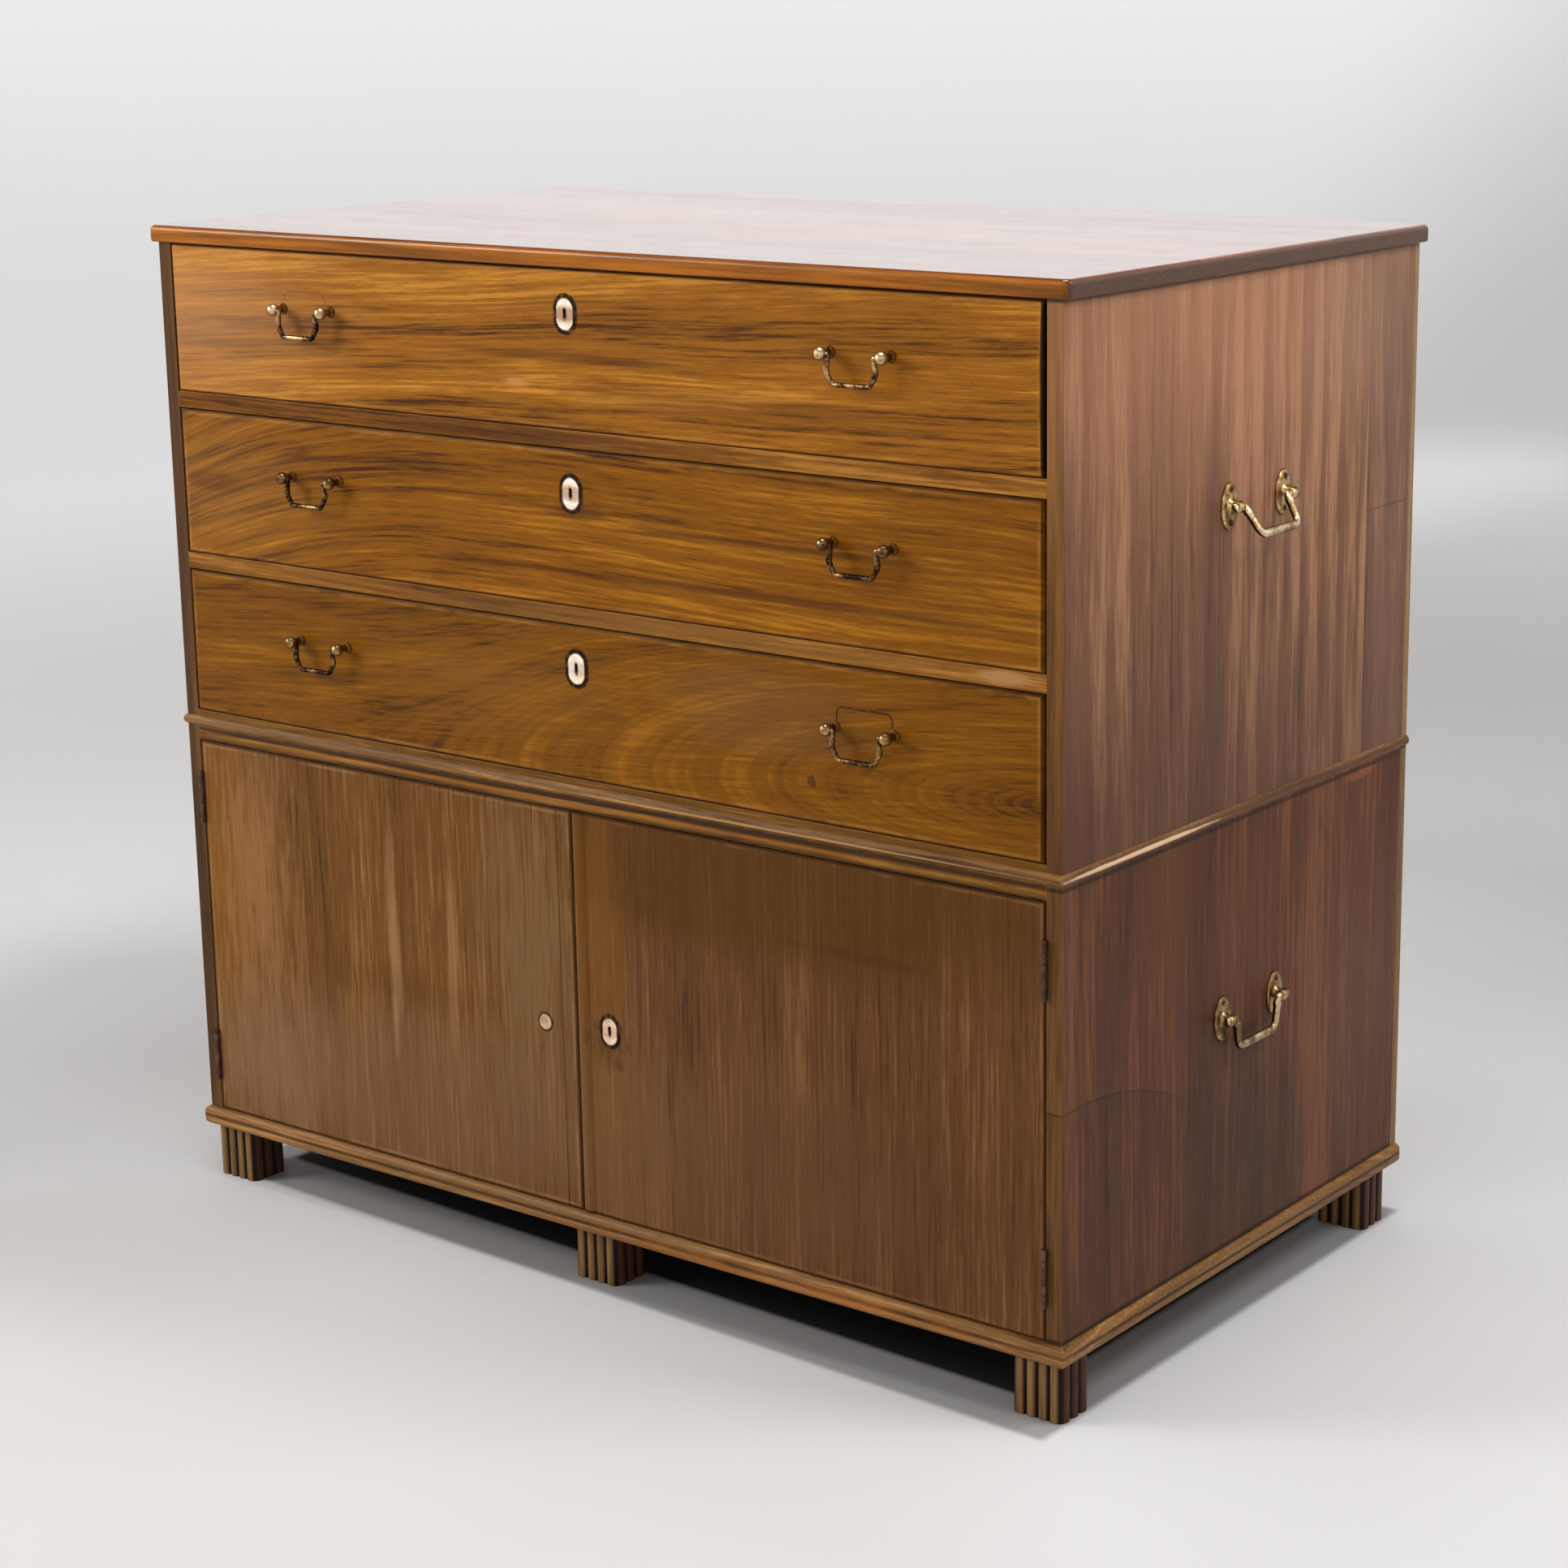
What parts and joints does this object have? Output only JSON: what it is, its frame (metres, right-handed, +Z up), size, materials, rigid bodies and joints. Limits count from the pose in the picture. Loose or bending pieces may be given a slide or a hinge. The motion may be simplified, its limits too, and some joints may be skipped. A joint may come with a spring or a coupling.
{
  "type": "campaign chest",
  "caption": "Wooden chest in two stacking cases, with drawers over a two-door cupboard, reeded feet, bone escutcheons and brass handles on the drawers and sides.",
  "frame": {"origin": "on the floor, under the middle of the space that the whole chest takes up", "axes": "+X to the right of someone facing the drawers, the front faces -Y, +Z up"},
  "size_m": [1.0422, 0.5864, 0.9285],
  "materials": {
    "drawer_wood": "french polished mahogany",
    "door_wood": "worn polished mahogany",
    "side_wood": "worn polished mahogany",
    "top_wood": "high polished mahogany",
    "bead_wood": "polished wood",
    "foot_wood": "dark polished wood",
    "back_wood": "dull stained wood",
    "inner_wood": "bare planed wood",
    "brass": "aged brass",
    "bone": "polished bone",
    "hinge_iron": "darkened brass",
    "lock_iron": "dull brass"
  },
  "bodies": {
    "lower_case": {"lower_side_left": "side_wood", "lower_side_right": "side_wood", "lower_top": "inner_wood", "lower_bottom": "inner_wood", "lower_back": "back_wood", "base_bead": "bead_wood", "feet": "foot_wood", "case_hinge_leaves": "hinge_iron", "lower_handle_plates": "brass"},
    "lower_bail_left": {"lower_bail_left": "brass"},
    "lower_bail_right": {"lower_bail_right": "brass"},
    "left_door": {"door_left": "door_wood", "left_door_hinge_leaves": "hinge_iron", "left_door_button": "bone"},
    "right_door": {"door_right": "door_wood", "right_door_hinge_leaves": "hinge_iron", "door_escutcheon": "bone", "door_lock": "lock_iron"},
    "door_bolt": {"door_lock_bolt": "lock_iron"},
    "upper_case": {"top_board": "top_wood", "upper_side_left": "side_wood", "upper_side_right": "side_wood", "upper_back": "back_wood", "upper_bottom": "inner_wood", "drawer_rails": "inner_wood", "drawer_runners": "inner_wood", "waist_bead": "bead_wood", "upper_handle_plates": "brass"},
    "upper_bail_left": {"upper_bail_left": "brass"},
    "upper_bail_right": {"upper_bail_right": "brass"},
    "drawer_1": {"drawer_1_front": "drawer_wood", "drawer_1_sides": "inner_wood", "drawer_1_back": "inner_wood", "drawer_1_bottom": "inner_wood", "drawer_1_escutcheon": "bone", "drawer_1_lock": "lock_iron", "drawer_1_pommels": "brass"},
    "drawer_1_bolt": {"drawer_1_lock_bolt": "lock_iron"},
    "drawer_1_bail_left": {"drawer_1_bail_left": "brass"},
    "drawer_1_bail_right": {"drawer_1_bail_right": "brass"},
    "drawer_2": {"drawer_2_front": "drawer_wood", "drawer_2_sides": "inner_wood", "drawer_2_back": "inner_wood", "drawer_2_bottom": "inner_wood", "drawer_2_escutcheon": "bone", "drawer_2_lock": "lock_iron", "drawer_2_pommels": "brass"},
    "drawer_2_bolt": {"drawer_2_lock_bolt": "lock_iron"},
    "drawer_2_bail_left": {"drawer_2_bail_left": "brass"},
    "drawer_2_bail_right": {"drawer_2_bail_right": "brass"},
    "drawer_3": {"drawer_3_front": "drawer_wood", "drawer_3_sides": "inner_wood", "drawer_3_back": "inner_wood", "drawer_3_bottom": "inner_wood", "drawer_3_escutcheon": "bone", "drawer_3_lock": "lock_iron", "drawer_3_pommels": "brass"},
    "drawer_3_bolt": {"drawer_3_lock_bolt": "lock_iron"},
    "drawer_3_bail_left": {"drawer_3_bail_left": "brass"},
    "drawer_3_bail_right": {"drawer_3_bail_right": "brass"}
  },
  "joints": [
    {"name": "upper_case_lift", "type": "slide", "parent": "lower_case", "child": "upper_case", "axis": [0, 0, 1], "range_m": [0, 0.15]},
    {"name": "drawer_1_slide", "type": "slide", "parent": "upper_case", "child": "drawer_1", "axis": [0, -1, 0], "range_m": [0, 0.42]},
    {"name": "drawer_1_bolt_throw", "type": "slide", "parent": "drawer_1", "child": "drawer_1_bolt", "axis": [0, 0, 1], "range_m": [0, 0.008]},
    {"name": "drawer_1_bail_left_swing", "type": "hinge", "parent": "drawer_1", "child": "drawer_1_bail_left", "pos_m": [-0.31557, -0.28775, 0.85995], "axis": [-1, 0, 0], "range_deg": [-24, 204]},
    {"name": "drawer_1_bail_right_swing", "type": "hinge", "parent": "drawer_1", "child": "drawer_1_bail_right", "pos_m": [0.30243, -0.28775, 0.85995], "axis": [-1, 0, 0], "range_deg": [-24, 204]},
    {"name": "drawer_2_slide", "type": "slide", "parent": "upper_case", "child": "drawer_2", "axis": [0, -1, 0], "range_m": [0, 0.42]},
    {"name": "drawer_2_bolt_throw", "type": "slide", "parent": "drawer_2", "child": "drawer_2_bolt", "axis": [0, 0, 1], "range_m": [0, 0.008]},
    {"name": "drawer_2_bail_left_swing", "type": "hinge", "parent": "drawer_2", "child": "drawer_2_bail_left", "pos_m": [-0.31557, -0.28775, 0.70795], "axis": [-1, 0, 0], "range_deg": [-24, 204]},
    {"name": "drawer_2_bail_right_swing", "type": "hinge", "parent": "drawer_2", "child": "drawer_2_bail_right", "pos_m": [0.30243, -0.28775, 0.70795], "axis": [-1, 0, 0], "range_deg": [-24, 204]},
    {"name": "drawer_3_slide", "type": "slide", "parent": "upper_case", "child": "drawer_3", "axis": [0, -1, 0], "range_m": [0, 0.42]},
    {"name": "drawer_3_bolt_throw", "type": "slide", "parent": "drawer_3", "child": "drawer_3_bolt", "axis": [0, 0, 1], "range_m": [0, 0.008]},
    {"name": "drawer_3_bail_left_swing", "type": "hinge", "parent": "drawer_3", "child": "drawer_3_bail_left", "pos_m": [-0.31557, -0.28775, 0.55595], "axis": [-1, 0, 0], "range_deg": [-24, 204]},
    {"name": "drawer_3_bail_right_swing", "type": "hinge", "parent": "drawer_3", "child": "drawer_3_bail_right", "pos_m": [0.30243, -0.28775, 0.55595], "axis": [-1, 0, 0], "range_deg": [-24, 204]},
    {"name": "upper_bail_left_swing", "type": "hinge", "parent": "upper_case", "child": "upper_bail_left", "pos_m": [-0.51607, 0.01425, 0.7225], "axis": [0, 1, 0], "range_deg": [-13, 193]},
    {"name": "lower_bail_left_swing", "type": "hinge", "parent": "lower_case", "child": "lower_bail_left", "pos_m": [-0.51607, 0.01425, 0.282], "axis": [0, 1, 0], "range_deg": [-13, 193]},
    {"name": "upper_bail_right_swing", "type": "hinge", "parent": "upper_case", "child": "upper_bail_right", "pos_m": [0.50293, 0.01425, 0.7225], "axis": [0, -1, 0], "range_deg": [-45, 161]},
    {"name": "lower_bail_right_swing", "type": "hinge", "parent": "lower_case", "child": "lower_bail_right", "pos_m": [0.50293, 0.01425, 0.282], "axis": [0, -1, 0], "range_deg": [-13, 193]},
    {"name": "left_door_hinge", "type": "hinge", "parent": "lower_case", "child": "left_door", "pos_m": [-0.49082, -0.27735, 0.25675], "axis": [0, 0, -1], "range_deg": [0, 170]},
    {"name": "right_door_hinge", "type": "hinge", "parent": "lower_case", "child": "right_door", "pos_m": [0.47768, -0.27735, 0.25675], "axis": [0, 0, 1], "range_deg": [0, 170]},
    {"name": "door_bolt_throw", "type": "slide", "parent": "right_door", "child": "door_bolt", "axis": [-1, 0, 0], "range_m": [0, 0.008]}
  ]
}
